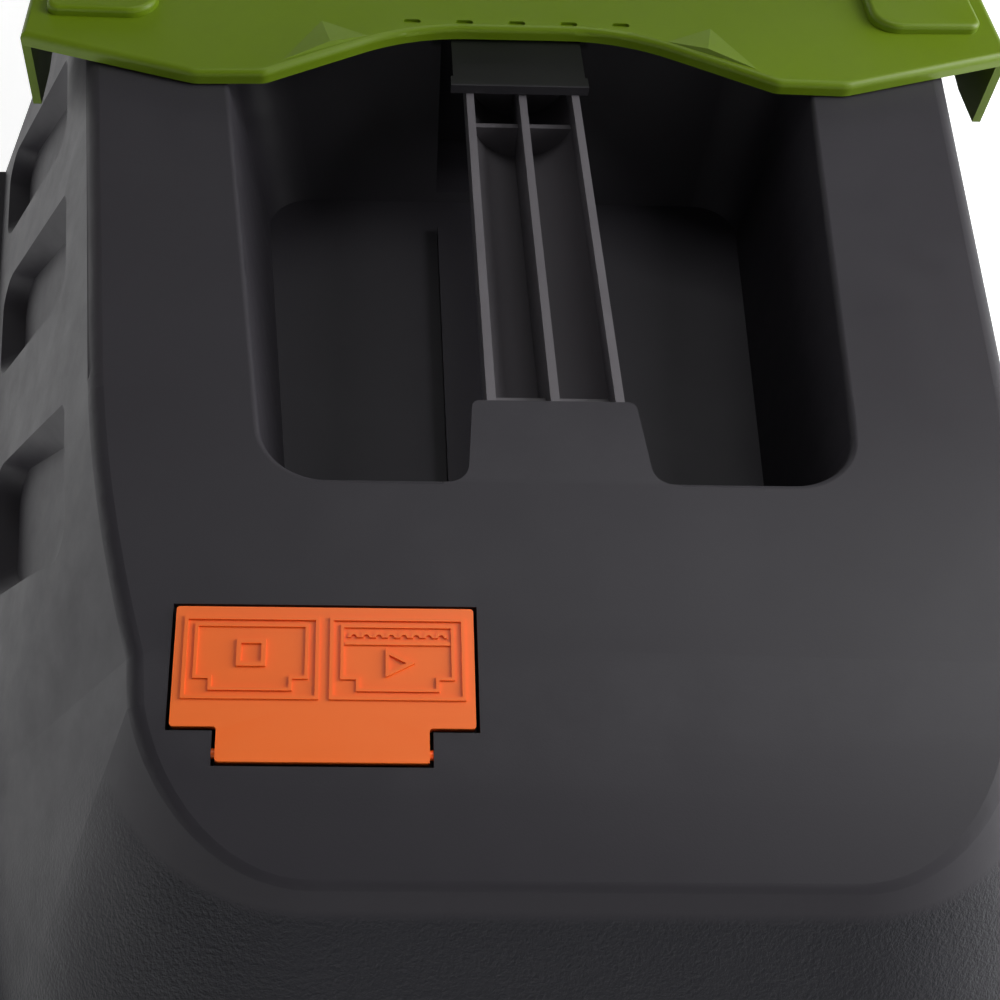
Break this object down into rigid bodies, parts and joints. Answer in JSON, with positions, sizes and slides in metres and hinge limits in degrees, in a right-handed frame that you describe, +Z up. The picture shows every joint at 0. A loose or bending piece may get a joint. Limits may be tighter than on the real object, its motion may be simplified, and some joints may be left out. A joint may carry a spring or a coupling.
{
  "type": "cordless lawn mower",
  "caption": "Battery lawn mower with a rigid rear grass box, a sprung rear flap, a folding push handle and plastic wheels.",
  "frame": {"origin": "bottom centre of the whole machine's bounding box, on the ground between the wheels", "axes": "+X to the machine's right, +Y forward in the direction of travel, +Z up"},
  "size_m": [0.4362, 0.9588, 0.9549],
  "materials": {
    "box_plastic": "satin moulded plastic",
    "box_grained": "fine grain moulded plastic",
    "black_plastic": "satin",
    "green_plastic": "satin gloss moulded plastic",
    "orange_plastic": "satin gloss moulded plastic",
    "deck_plastic": "satin moulded plastic",
    "wheel_grey": "satin",
    "cap_green": "satin",
    "tyre": "matte rubber",
    "foam": "matte foam",
    "tube_paint": "satin black powder coat",
    "zinc": "zinc plated",
    "blade_steel": "ground steel edge",
    "spring_steel": "spring steel",
    "motor_steel": "zinc grey",
    "aluminium": "cast",
    "copper": "enamelled winding",
    "board": "solder mask"
  },
  "bodies": {
    "chassis": {"battery_bay": "black_plastic", "battery_terminals": "spring_steel", "bracket_bolts": "zinc", "cable_gland": "black_plastic", "chute_duct": "black_plastic", "controller_board": "board", "deck_shell": "deck_plastic", "flap_hinge_rod": "zinc", "flap_springs": "spring_steel", "fold_bolts": "zinc", "front_axle": "zinc", "handle_brackets": "black_plastic", "key_socket": "black_plastic", "lower_tubes": "tube_paint", "motor_can": "motor_steel", "motor_flange": "aluminium", "motor_hood": "green_plastic", "motor_screws": "zinc", "rear_axle": "zinc", "rear_plate": "black_plastic", "shaft_bearings": "zinc", "stator": "copper"},
    "blade": {"motor_shaft": "zinc", "blade_holder": "black_plastic", "cutting_blade": "blade_steel", "blade_bolt": "zinc", "blade_washer": "zinc"},
    "flap": {"rear_flap": "green_plastic"},
    "grass_box": {"box_top_shell": "box_plastic", "box_bottom_shell": "box_grained", "carry_handle": "black_plastic", "handle_screws": "zinc", "box_hooks": "box_grained"},
    "indicator": {"fill_indicator": "orange_plastic"},
    "battery": {"battery_pack": "black_plastic"},
    "battery_button": {"battery_release": "orange_plastic"},
    "key": {"safety_key": "orange_plastic"},
    "upper_handle": {"upper_handle_bar": "tube_paint", "foam_grip": "foam", "switch_box": "black_plastic", "bail_pins": "zinc"},
    "bail": {"bail_bar": "tube_paint"},
    "start": {"start_button": "orange_plastic"},
    "lever_left": {"quick_lever_left": "orange_plastic"},
    "lever_right": {"quick_lever_right": "orange_plastic"},
    "rear_wheel_left": {"rear_tyre_left": "tyre", "rear_rim_left": "wheel_grey", "rear_cap_left": "cap_green"},
    "rear_wheel_right": {"rear_tyre_right": "tyre", "rear_rim_right": "wheel_grey", "rear_cap_right": "cap_green"},
    "front_wheel_left": {"front_tyre_left": "tyre", "front_rim_left": "wheel_grey", "front_cap_left": "cap_green"},
    "front_wheel_right": {"front_tyre_right": "tyre", "front_rim_right": "wheel_grey", "front_cap_right": "cap_green"}
  },
  "joints": [
    {"name": "blade_spin", "type": "hinge", "parent": "chassis", "child": "blade", "pos_m": [0, 0.2174, 0.056], "axis": [0, 0, 1], "continuous": true},
    {"name": "rear_left_wheel_spin", "type": "hinge", "parent": "chassis", "child": "rear_wheel_left", "pos_m": [0, 0.0124, 0.088], "axis": [1, 0, 0], "continuous": true},
    {"name": "rear_right_wheel_spin", "type": "hinge", "parent": "chassis", "child": "rear_wheel_right", "pos_m": [0, 0.0124, 0.088], "axis": [1, 0, 0], "continuous": true},
    {"name": "front_left_wheel_spin", "type": "hinge", "parent": "chassis", "child": "front_wheel_left", "pos_m": [0, 0.4074, 0.072], "axis": [1, 0, 0], "continuous": true},
    {"name": "front_right_wheel_spin", "type": "hinge", "parent": "chassis", "child": "front_wheel_right", "pos_m": [0, 0.4074, 0.072], "axis": [1, 0, 0], "continuous": true},
    {"name": "flap_hinge", "type": "hinge", "parent": "chassis", "child": "flap", "pos_m": [0, -0.0016, 0.3475], "axis": [-1, 0, 0], "range_deg": [0, 75], "stiffness_Nm_per_rad": 0.2, "springref_deg": -45.84},
    {"name": "box_pull", "type": "slide", "parent": "chassis", "child": "grass_box", "axis": [0, -1, 0], "range_m": [0, 0.25]},
    {"name": "indicator_lift", "type": "hinge", "parent": "grass_box", "child": "indicator", "pos_m": [-0.0582, -0.33579, 0.33378], "axis": [1, 0, 0], "range_deg": [0, 35]},
    {"name": "battery_lift", "type": "slide", "parent": "chassis", "child": "battery", "axis": [0, 0.225, 0.9744], "range_m": [0, 0.075]},
    {"name": "battery_button_press", "type": "slide", "parent": "battery", "child": "battery_button", "axis": [0, -0.225, -0.9744], "range_m": [0, 0.0025], "stiffness_N_per_m": 600, "springref_m": -0.002},
    {"name": "key_pull", "type": "slide", "parent": "chassis", "child": "key", "axis": [0, 0.225, 0.9744], "range_m": [0, 0.032]},
    {"name": "handle_fold", "type": "hinge", "parent": "chassis", "child": "upper_handle", "pos_m": [0, -0.09615, 0.49246], "axis": [-1, 0, 0], "range_deg": [0, 150]},
    {"name": "bail_squeeze", "type": "hinge", "parent": "upper_handle", "child": "bail", "pos_m": [0, -0.38219, 0.83334], "axis": [-1, 0, 0], "range_deg": [0, 20], "stiffness_Nm_per_rad": 0.6, "springref_deg": -17.19},
    {"name": "start_press", "type": "slide", "parent": "upper_handle", "child": "start", "axis": [0, -0.766, -0.6428], "range_m": [0, 0.003], "stiffness_N_per_m": 500, "springref_m": -0.002},
    {"name": "lever_left_turn", "type": "hinge", "parent": "chassis", "child": "lever_left", "pos_m": [0, -0.09615, 0.49246], "axis": [1, 0, 0], "range_deg": [0, 110]},
    {"name": "lever_right_turn", "type": "hinge", "parent": "chassis", "child": "lever_right", "pos_m": [0, -0.09615, 0.49246], "axis": [1, 0, 0], "range_deg": [0, 110]}
  ]
}
